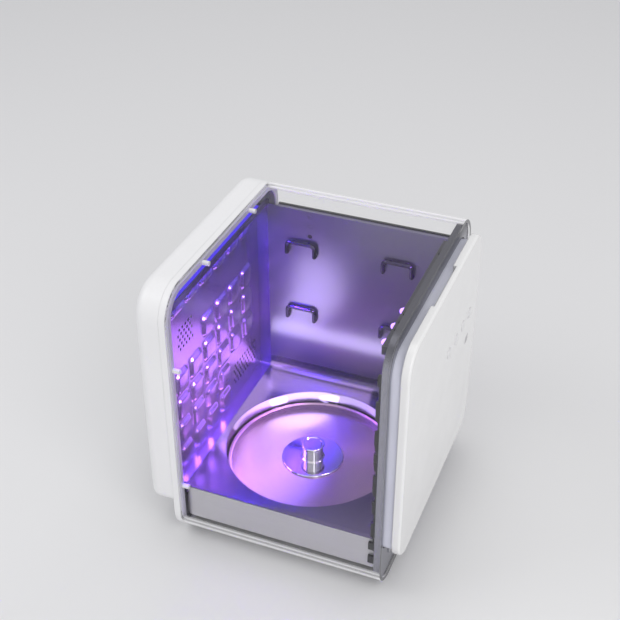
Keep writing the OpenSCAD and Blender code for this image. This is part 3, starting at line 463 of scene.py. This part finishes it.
def boardFinish():
    # circuit board: green mask with pale square pads and thin tracks
    cfg = boardSet
    material, tree, shader, coords, edges = startMaterial("circuitBoard", cfg["mask"], cfg["roughness"],
                                                          edge=cfg["edge"])
    cells = addNode(tree, "ShaderNodeTexVoronoi", {"Vector": coords, "Scale": cfg["padScale"],
                                                   "Randomness": cfg["padScatter"]}, distance="CHEBYCHEV")
    pads = ramp(tree, cells.outputs["Distance"], *cfg["padEdge"], 1, 0)
    tracks = addNode(tree, "ShaderNodeTexBrick", {
        "Vector": coords, "Scale": cfg["trackScale"], "Mortar Size": cfg["trackWidth"],
        "Color1": (*cfg["mask"], 1), "Color2": (*cfg["shade"], 1), "Mortar": (*cfg["track"], 1)})
    tree.links.new(mixColour(tree, pads, tracks.outputs["Color"], cfg["pad"]), shader.inputs["Base Color"])
    return material


feltSet = {
    "colour": (0.03, 0.03, 0.034), "dark": (0.012, 0.012, 0.014), "light": (0.07, 0.07, 0.075),
    "roughness": 0.95, "sheen": 0.3, "edge": 0.001, "scale": 900.0, "detail": 6.0, "tangle": 2.5,
    "relief": 0.8, "depth": 0.0006,
}


def feltFinish():
    # carbon felt: matted fibres
    cfg = feltSet
    material, tree, shader, coords, edges = startMaterial("carbonFelt", cfg["colour"], cfg["roughness"],
                                                          edge=cfg["edge"], Sheen_Weight=cfg["sheen"])
    fibres = noise(tree, coords, cfg["scale"], cfg["detail"], Distortion=cfg["tangle"])
    tree.links.new(mixColour(tree, fibres, cfg["dark"], cfg["light"]), shader.inputs["Base Color"])
    bumpFrom(tree, shader, fibres, cfg["relief"], cfg["depth"], edges)
    return material


# looks that more than one finish has
housingLook = {"colour": (0.84, 0.84, 0.85), "roughness": 0.32, "pebble": 1500, "relief": 0.035, "mottle": 0.012,
               "dust": 0.05, "edge": 0.0012, "wear": 0.15, "coat": 0.15}
ringLook = {"stretch": (6, 1, 6), "scale": 60, "shade": 0.05, "relief": 0.01, "edge": 0.0008, "metallic": 0.95}
sheetLook = {"stretch": (40, 1.5, 40), "scale": 16, "shade": 0.02, "relief": 0.0, "metallic": 0.9}

finishes = {
    # one for each material slot of the record
    "clear_plastic": clearFinish(),
    "white_housing": plasticFinish("whiteHousing", **housingLook),
    "service_white": plasticFinish("serviceWhite", (0.76, 0.76, 0.77), 0.5, pebble=900, relief=0.1, mottle=0.02,
                                   dust=0.06, wear=0.2),
    "silver_ring": metalFinish("silverRing", (0.36, 0.36, 0.40), 0.22, **ringLook),
    "black_clip": plasticFinish("blackClip", (0.028, 0.028, 0.032), 0.42, pebble=900, relief=0.12, mottle=0.1,
                                edge=0.0006, wear=0.3),
    "base_metal": metalFinish("baseMetal", (0.58, 0.57, 0.61), 0.42, (40, 2, 40), scale=12, shade=0.04, relief=0.02,
                              edge=0.001, metallic=0.75),
    "foot_rubber": plasticFinish("footRubber", (0.05, 0.05, 0.055), 0.8, pebble=600, relief=0.3, mottle=0.12,
                                 dust=0.1, edge=0.0012),
    # painted light and shade: dark violet instead of bare steel's grey, standing in for the violet lamplight and the
    # chamber's shade
    "stainless": metalFinish("stainless", (0.24, 0.225, 0.34), 0.20, **sheetLook),
    # painted light and shade: dark violet instead of bare steel's grey; painted shade: behind Y 0.1304 the back of the
    # sheet and the slot walls are near black, so the slots read as dark holes
    "embossed_stainless": metalFinish(
        "embossedStainless", (0.22, 0.19, 0.31), 0.22, (3, 40, 40), shade=0.01, relief=0.0, edge=None, metallic=0.9,
        swing=0.02, paintedShade={"axis": "Y", "how": "GREATER_THAN", "limit": 0.1304, "colour": (0.01, 0.008, 0.02),
                            "roughness": 0.6}),
    # painted light: pink-violet instead of bare steel's grey, standing in for the lamps' glow on the dish
    "dish_steel": spunFinish("dishSteel", (0.46, 0.35, 0.43), 0.24, 900, 0.02, metallic=0.9, anisotropic=0.7),
    "chrome_hub": spunFinish("chromeHub", (0.66, 0.65, 0.70), 0.1, 1400, 0.05),
    "bush_plastic": plasticFinish("bushPlastic", (0.66, 0.60, 0.44), 0.5, pebble=900, relief=0.1, mottle=0.05),
    "zinc": metalFinish("zincPlate", (0.52, 0.52, 0.55), 0.36, (8, 8, 8), scale=40, edge=0.0004),
    "lamp_case": plasticFinish("lampCase", (0.05, 0.05, 0.065), 0.45, pebble=900, relief=0.1, mottle=0.08,
                               edge=0.0006, wear=0.3),
    "violet_lens": lampFinish("violetLens", (0.50, 0.26, 1.0), 2.2),
    "circuit_board": boardFinish(),
    "carbon_felt": feltFinish(),
    "white_door": plasticFinish("whiteDoor", (0.86, 0.86, 0.86), 0.22, pebble=1800, relief=0.02, mottle=0.008,
                                dust=0.03, edge=0.0014, wear=0.1, coat=0.35),
    "pale_frame": plasticFinish("paleFrame", (0.78, 0.79, 0.90), 0.4, pebble=1200, mottle=0.03, dust=0.04, wear=0.3,
                                coat=0.1),
    "door_liner": metalFinish("doorLiner", (0.42, 0.42, 0.47), 0.34, (2, 40, 40), shade=0.1, relief=0.1),
    "seal_rubber": plasticFinish("sealRubber", (0.16, 0.165, 0.19), 0.7, pebble=700, relief=0.25, mottle=0.08,
                                 edge=0.001),
    "magnet_steel": metalFinish("magnetSteel", (0.34, 0.34, 0.36), 0.25, (5, 5, 5), scale=30, shade=0.08, relief=0.1,
                                edge=0.0004),
    "plunger_plastic": plasticFinish("plungerPlastic", (0.70, 0.22, 0.03), 0.4, pebble=900, relief=0.1, mottle=0.05,
                                     edge=0.0004),
    "smoked_window": plasticFinish("smokedWindow", (0.30, 0.30, 0.32), 0.1, pebble=1800, relief=0.01, mottle=0.02,
                                   edge=0.0004, coat=0.6),
    "button_white": plasticFinish("buttonWhite", (0.80, 0.80, 0.81), 0.28, pebble=1500, relief=0.03, mottle=0.01,
                                  dust=0.02, edge=0.0005, wear=0.1, coat=0.3),
}
ownFinishes = {
    # nodes that look unlike the rest of their slot
    # painted light and shade: dark violet instead of bare steel's grey; painted shade: the rack supports, nearer than
    # X 0.1318, are near black and glossy in place of the shade and dark reflections on them
    "side_wall": metalFinish(
        "sideWallSteel", (0.20, 0.185, 0.28), 0.28, (40, 40, 1.5), scale=16, shade=0.008, relief=0.0, metallic=0.9,
        swing=0.015, paintedShade={"axis": "X", "how": "LESS_THAN", "limit": 0.1318, "colour": (0.06, 0.05, 0.10),
                             "roughness": 0.09}),
    # painted shade: the ring's top, between Z 0.303 and 0.323, turns softly dark grey where less light falls
    "front_ring": metalFinish("ringSilver", (0.34, 0.34, 0.39), 0.22, **ringLook, paintedShade={
        "axis": "Z", "how": "SOFT", "limit": (0.303, 0.323), "colour": (0.12, 0.12, 0.14), "roughness": 0.3}),
    "clamp_ring": plasticFinish("clampSilver", (0.56, 0.54, 0.66), 0.35, relief=0.02, mottle=0.03, edge=0.0006,
                                wear=0.2, coat=0.2),
    # painted light: strong violet instead of bare steel's grey, the colour of the lamps' light
    "back_rim": metalFinish("rimSteel", (0.24, 0.18, 0.46), 0.25, **sheetLook),
    "rear_lamp": lampFinish("litCase", (0.10, 0.05, 1.0), 0.55),
    # painted light and shade: dark violet-blue instead of bare steel's grey
    "floor_tray": metalFinish("floorSteel", (0.145, 0.12, 0.225), 0.24, (1.5, 40, 40), scale=16, shade=0.02,
                              relief=0.0, metallic=0.92),
}

innerFaceSet = {"colour": (0.17, 0.165, 0.20), "half": (0.110, 0.128), "middle": 0.1675, "radius": 0.0325}  # metres


def tintInside(material, colour, half, middle, radius):
    # what lies inside a rounded rectangle round the Y axis takes another colour: with p the distances sideways and
    # up or down from the middle, that is where the length of max(p - half, 0) is less than radius
    tree = material.node_tree
    shader = tree.nodes["Principled BSDF"]
    place = addNode(tree, "ShaderNodeTexCoord").outputs["Object"]
    away = calcVector(tree, "ABSOLUTE", calcVector(tree, "SUBTRACT", place, (0, 0, middle)))
    past = calcVector(tree, "MAXIMUM", calcVector(tree, "SUBTRACT", away, (half[0], 1, half[1])), (0, 0, 0))
    inside = calc(tree, "LESS_THAN", calcVector(tree, "LENGTH", past), radius)
    outer = shader.inputs["Base Color"].links[0].from_socket
    tree.links.new(mixColour(tree, inside, outer, colour), shader.inputs["Base Color"])
    return material


def giveFinish(piece, material):
    if not piece.material_slots:
        piece.data.materials.append(None)
    for holder in piece.material_slots:
        holder.material = material


ownFinishes["rear_ring"] = tintInside(plasticFinish("ringHousing", **housingLook), **innerFaceSet)
for row in frame["record"]["subparts"]:
    giveFinish(nodes[row["node"]], ownFinishes.get(row["node"], finishes[row["material_slot"]]))
print("materials:", len(finishes) + len(ownFinishes), "finishes on", len(nodes), "nodes")

# ---- embossed back wall

backSheetSet = {
    # metres
    "halfWidth": 0.1332, "bottom": 0.0525, "top": 0.2957, "front": 0.1303, "thick": 0.0005,
    "cornerLow": 0.008, "cornerHigh": 0.004, "drawIn": 0.012, "step": 0.0016,
    "square": 0.0315, "topRowHeight": 0.0265, "topRowDrop": 0.002, "pitch": 0.035,
    "firstColumn": 0.0935, "firstRow": 0.2808,
    "height": 0.0031, "slope": 0.0046, "round": 0.0085, "crown": 0.0014,
    "sharpAngle": 50,  # degrees
    # the columns of squares in each row, rows counted from the top and columns from the right
    "rows": {0: range(6), 2: range(4), 3: range(6), 4: range(6), 5: range(2, 6), 6: range(2, 6)},
    # centre of each field of slots, and how many columns it reaches to each side
    "vents": (((-0.065, 0.2295), 2), ((0.0825, 0.0875), 4)),
    "slot": (0.003, 0.0036), "slotPitch": (0.0072, 0.0064), "slotShift": 0.25, "ventRows": 2,
}


def gridLines(low, high, stops, step):
    # all stops are kept, and each gap between two of them is cut evenly into parts no longer than step
    stops = np.unique(np.round(np.concatenate([[low, high], stops]), 6))
    parts = [np.linspace(a, b, max(1, math.ceil((b - a) / step - 1e-6)), endpoint=False)
             for a, b in zip(stops[:-1], stops[1:])]
    return np.concatenate(parts + [[high]])


def slotStops(cfg, axis):
    # both edges of every slot along one axis; rows shift by a quarter pitch each way
    half, pitch = cfg["slot"][axis] / 2, cfg["slotPitch"][axis]
    shifts = (-cfg["slotShift"], cfg["slotShift"]) if axis == 0 else (0,)
    stops = []
    for centre, reach in cfg["vents"]:
        count = reach if axis == 0 else cfg["ventRows"]
        middles = centre[axis] + np.add.outer(np.arange(-count, count + 1), shifts).ravel() * pitch
        stops += [middles - half, middles + half]
    return np.concatenate(stops)


def slotMask(cfg, x, z):
    # true where a point lies in a slot: its nearest row and column of slots are within reach and half a slot away
    found = np.zeros(np.broadcast(x, z).shape, bool)
    for centre, reach in cfg["vents"]:
        row = np.round((z - centre[1]) / cfg["slotPitch"][1])
        shift = np.where(row % 2 == 0, cfg["slotShift"], -cfg["slotShift"])
        column = np.round((x - centre[0]) / cfg["slotPitch"][0] - shift)
        nearX = np.abs(x - centre[0] - (column + shift) * cfg["slotPitch"][0]) < cfg["slot"][0] / 2
        nearZ = np.abs(z - centre[1] - row * cfg["slotPitch"][1]) < cfg["slot"][1] / 2
        found |= nearX & nearZ & (np.abs(column) <= reach) & (np.abs(row) <= cfg["ventRows"])
    return found


def squareRelief(cfg, x, z):
    # height of the embossing: distance d inwards from a rounded square's outline, as the smooth step
    # t*t*(3 - 2t) of t = d / slope, plus a low crown that falls with the square of the distance from the middle
    height = np.zeros(np.broadcast(x, z).shape)
    for row, columns in cfg["rows"].items():
        tall, drop = (cfg["topRowHeight"], cfg["topRowDrop"]) if row == 0 else (cfg["square"], 0)
        middleZ = cfg["firstRow"] - row * cfg["pitch"] - drop
        for column in columns:
            u = np.abs(x - cfg["firstColumn"] + column * cfg["pitch"])
            v = np.abs(z - middleZ)
            qu, qv = u - cfg["square"] / 2 + cfg["round"], v - tall / 2 + cfg["round"]
            outside = np.hypot(np.maximum(qu, 0), np.maximum(qv, 0)) + np.minimum(np.maximum(qu, qv), 0)
            t = np.clip((cfg["round"] - outside) / cfg["slope"], 0, 1)
            crown = cfg["crown"] * (1 - (2 * u / cfg["square"]) ** 2) * (1 - (2 * v / tall) ** 2)
            height += t * t * (3 - 2 * t) * (cfg["height"] + np.maximum(crown, 0))
    return height


def smoothMesh(name, points, faces, sharpAngle):
    # smooth all over, but for edges where the faces meet at more than sharpAngle degrees
    mesh = bpy.data.meshes.new(name)
    mesh.from_pydata(points.tolist(), [], faces.tolist())
    mesh.shade_smooth()
    mesh.set_sharp_from_angle(angle=math.radians(sharpAngle))
    return mesh


def shellMesh(name, front, back, kept, sharpAngle):
    # closes two grids of points into one thin shell; quads that aren't kept become holes with walls
    rows, columns = front.shape[:2]
    index = np.arange(rows * columns).reshape(rows, columns)
    a, b, c, d = index[:-1, :-1], index[:-1, 1:], index[1:, 1:], index[1:, :-1]
    count = rows * columns
    around = np.pad(kept, 1)
    faces = [np.stack([a, b, c, d], -1)[kept], np.stack([a, d, c, b], -1)[kept] + count]
    for start, end, beside in ((a, b, around[:-2, 1:-1]), (b, c, around[1:-1, 2:]),
                               (c, d, around[2:, 1:-1]), (d, a, around[1:-1, :-2])):
        bare = kept & ~beside  # quads with nothing beside them get a wall on that side
        faces.append(np.stack([end[bare], start[bare], start[bare] + count, end[bare] + count], -1))
    points = np.concatenate([front.reshape(-1, 3), back.reshape(-1, 3)])
    used, faces = np.unique(np.concatenate(faces), return_inverse=True)
    return smoothMesh(name, points[used], faces.reshape(-1, 4), sharpAngle)


def newPiece(name, mesh, body, slot, *replaced):
    piece = bpy.data.objects.new(name, mesh)
    scene.collection.objects.link(piece)
    mesh.materials.append(finishes[slot])
    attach(piece, body)
    if replaced:
        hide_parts(*replaced)
    return piece


def buildBackSheet():
    cfg = backSheetSet
    xs = gridLines(-cfg["halfWidth"], cfg["halfWidth"], slotStops(cfg, 0), cfg["step"])
    zs = gridLines(cfg["bottom"], cfg["top"], slotStops(cfg, 1), cfg["step"])
    x, z = np.meshgrid(xs, zs)
    kept = ~slotMask(cfg, (x[1:, 1:] + x[:-1, :-1]) / 2, (z[1:, 1:] + z[:-1, :-1]) / 2)
    relief = squareRelief(cfg, x, z)
    # near top and bottom, the outer drawIn of each row draws in to follow the rounded corners
    cut = 0
    for radius, away in ((cfg["cornerLow"], z - cfg["bottom"]), (cfg["cornerHigh"], cfg["top"] - z)):
        cut = cut + radius - np.sqrt(radius ** 2 - np.clip(radius - away, 0, None) ** 2)
    edge = np.clip((np.abs(x) - cfg["halfWidth"] + cfg["drawIn"]) / cfg["drawIn"], 0, 1)
    x = x - np.sign(x) * edge * cut
    front = np.stack([x, cfg["front"] - relief, z], -1)
    mesh = shellMesh("backSheet", front, front + (0, cfg["thick"], 0), kept, cfg["sharpAngle"])
    print("back sheet:", len(mesh.polygons), "faces,", int((~kept).sum()), "slot quads")
    return newPiece("backSheet", mesh, "cabinet", "embossed_stainless", "back_wall")


backSheet = buildBackSheet()

# ---- clear sleeve

sleeveSet = {
    # metres
    "halfWidth": 0.147, "low": 0.0025, "high": 0.3325, "radius": 0.037, "wall": 0.004,
    "front": -0.1317, "back": 0.1078, "chamfer": 0.0005, "arcSteps": 30,
    "sharpAngle": 30,  # degrees
}


def roundedLoop(cfg):
    # four quarter circles, each point its centre plus radius times (cos, sin), joined by straight runs;
    # the outward direction of a point is the same (cos, sin)
    turn = np.concatenate([np.linspace(0, np.pi / 2, cfg["arcSteps"] + 1) + (k - 1) * np.pi / 2 for k in range(4)])
    out = np.stack([np.cos(turn), np.sin(turn)], -1)
    side, bottom, top = cfg["halfWidth"] - cfg["radius"], cfg["low"] + cfg["radius"], cfg["high"] - cfg["radius"]
    centre = np.repeat([(side, bottom), (side, top), (-side, top), (-side, bottom)], cfg["arcSteps"] + 1, axis=0)
    return centre + cfg["radius"] * out, out


def ringMesh(name, loop, out, section, sharpAngle):
    # a closed section of (inset, y) carried round a closed outline: point = outline - outward * inset, at that y
    inset, y = np.array(section).T
    flat = loop[:, None, :] - out[:, None, :] * inset[None, :, None]
    points = np.stack([flat[..., 0], np.broadcast_to(y, flat.shape[:2]), flat[..., 1]], -1)
    index = np.arange(points.shape[0] * points.shape[1]).reshape(points.shape[:2])
    around, along = np.roll(index, -1, 0), np.roll(index, -1, 1)
    faces = np.stack([index, around, np.roll(around, -1, 1), along], -1).reshape(-1, 4)
    return smoothMesh(name, points.reshape(-1, 3), faces, sharpAngle)


def buildSleeve():
    cfg = sleeveSet
    c, wall, front, back = cfg["chamfer"], cfg["wall"], cfg["front"], cfg["back"]
    section = [(0, back - c), (0, front + c), (c, front), (wall - c, front), (wall, front + c), (wall, back - c),
               (wall - c, back), (c, back)]
    mesh = ringMesh("clearShell", *roundedLoop(cfg), section, cfg["sharpAngle"])
    return newPiece("clearShell", mesh, "cabinet", "clear_plastic", "sleeve")


buildSleeve()

# ---- dark strip with blocks behind the front ring

stripSet = {
    # metres
    "outer": -0.1386, "inner": -0.1346, "front": -0.1227, "low": 0.058, "high": 0.291,
    "depth": 0.0034, "blockDepth": 0.0026, "ramp": 0.0007, "chamfer": 0.0003, "levels": 24,
    # middle and height of each block
    "blocks": ((0.088, 0.020), (0.120, 0.016), (0.152, 0.024), (0.187, 0.014), (0.214, 0.018), (0.250, 0.022)),
}


def buildStrip():
    # a chamfered rectangle carried up along Z; its depth is the base depth plus a flat-topped hump per block
    cfg = stripSet
    edges = np.concatenate([[m - h / 2 - cfg["ramp"], m - h / 2, m + h / 2, m + h / 2 + cfg["ramp"]]
                            for m, h in cfg["blocks"]])
    z = np.unique(np.concatenate([edges, np.linspace(cfg["low"], cfg["high"], cfg["levels"])]))
    middle, half = np.array(cfg["blocks"]).T[0], np.array(cfg["blocks"]).T[1] / 2
    hump = np.clip(1 - (np.abs(z[:, None] - middle) - half) / cfg["ramp"], 0, 1).max(1)
    depth = cfg["depth"] + cfg["blockDepth"] * hump
    x0, x1, c = cfg["outer"], cfg["inner"], cfg["chamfer"]
    near = np.full_like(z, cfg["front"])
    far = near + depth
    x = np.array([x0, x1, x1, x1 - c, x0 + c, x0])
    y = np.stack([near, near, far - c, far, far, far - c], -1)
    points = np.stack([np.broadcast_to(x, y.shape), y, np.broadcast_to(z[:, None], y.shape)], -1)
    index = np.arange(y.size).reshape(y.shape)
    turned = np.roll(index, -1, 1)
    faces = np.stack([index[:-1], turned[:-1], turned[1:], index[1:]], -1).reshape(-1, 4).tolist()
    faces += [index[0, ::-1].tolist(), index[-1].tolist()]
    mesh = bpy.data.meshes.new("ringStrip")
    mesh.from_pydata(points.reshape(-1, 3).tolist(), [], faces)
    return newPiece("ringStrip", mesh, "cabinet", "black_clip")


buildStrip()
print("sleeve and ring strip")

# ---- the cabinet's own violet lamps

chamberSteel = ("back_rim", "side_wall", "sensor", "backSheet")
lampSet = {
    # name: place, target, length, watts, colour, width, spread in degrees, what it lights
    "frontBar": ((-0.065, -0.112, 0.298), (-0.04, 0.12, 0.12), 0.08, 2.1, (0.72, 0.26, 1.0), 0.012, 60,
                 ("back_rim", "side_wall", "sensor", "dish", "spindle")),
    "frontFill": ((0.03, -0.112, 0.298), (0.03, 0.07, 0.05), 0.14, 0.7, (0.60, 0.30, 1.0), 0.012, 90,
                  chamberSteel + ("dish", "spindle", "door_plate")),
    "rearBar": ((0, 0.1235, 0.292), (0, 0.1245, 0.05), 0.21, 1.3, (0.14, 0.05, 1.0), 0.004, 150,
                chamberSteel + ("clamp_ring", "rear_ring", "ring_pegs")),
    # soft glows that the polished sheets throw on one another
    "wallGlow": ((0.020, 0.115, 0.105), (0.132, 0.073, 0.185), 0.11, 0.064, (0.90, 0.80, 1.0), 0.10, 160,
                 ("side_wall",)),
    "wallBand": ((0.10, 0.012, 0.095), (0.132, 0.012, 0.117), 0.23, 0.028, (0.92, 0.84, 1.0), 0.018, 150,
                 ("side_wall",)),
    "wellGlowMiddle": ((0.0816, 0.0464, 0.0405), (0.0922, 0.0519, 0.048), 0.08, 0.015, (1.0, 0.90, 0.98), 0.01, 150,
                       ("floor_tray",)),
    "wellGlowBack": ((0.042, 0.0858, 0.0405), (0.0475, 0.0965, 0.048), 0.08, 0.014, (1.0, 0.80, 0.98), 0.01, 150,
                     ("floor_tray",)),
    "wellGlowFront": ((0.0925, -0.0105, 0.0405), (0.1035, -0.0123, 0.048), 0.09, 0.009, (0.96, 0.90, 1.0), 0.01,
                      150, ("floor_tray",)),
    "floorBack": ((0.052, 0.121, 0.074), (0.052, 0.099, 0.052), 0.15, 0.033, (0.98, 0.76, 1.0), 0.036, 170,
                  ("floor_tray",)),
    "floorSide": ((0.124, 0.045, 0.072), (0.102, 0.045, 0.050), 0.14, 0.020, (0.98, 0.76, 1.0), 0.03, 170,
                  ("floor_tray",)),
    "cellViolet": ((0.075, 0.045, 0.050), (-0.05, 0.128, 0.125), 0.19, 0.145, (0.62, 0.26, 1.0), 0.13, 160,
                   ("backSheet",)),
    "cellWash": ((-0.065, -0.09, 0.285), (-0.04, 0.12, 0.12), 0.20, 1.2, (0.66, 0.28, 1.0), 0.14, 70,
                 ("backSheet",)),
    "cellBlue": ((0.115, -0.03, 0.215), (-0.04, 0.128, 0.185), 0.07, 0.11, (0.28, 0.12, 1.0), 0.19, 150,
                 ("backSheet",)),
    "dishGlow": ((0.06, 0.100, 0.140), (-0.03, 0.02, 0.0365), 0.15, 0.028, (1.0, 0.80, 0.95), 0.11, 150,
                 ("dish",)),
    "rimGlow": ((0.116, 0.073, 0.072), (0.074, 0.050, 0.0365), 0.10, 0.022, (1.0, 0.92, 1.0), 0.052, 150,
                ("dish",)),
}


def buildLamps():
    # each beam lights only its own pieces of the chamber, so that no violet falls on the studio floor
    for name, (place, target, length, watts, colour, width, spread, pieces) in lampSet.items():
        lamp = areaLight(name, place, target, length, watts, colour, width)
        lamp.data.spread = math.radians(spread)
        inside = bpy.data.collections.new(name + "Reach")
        for piece in pieces:
            inside.objects.link(backSheet if piece == "backSheet" else nodes[piece])
        lamp.light_linking.receiver_collection = inside
    print("lamps:", len(lampSet), "beams")


buildLamps()
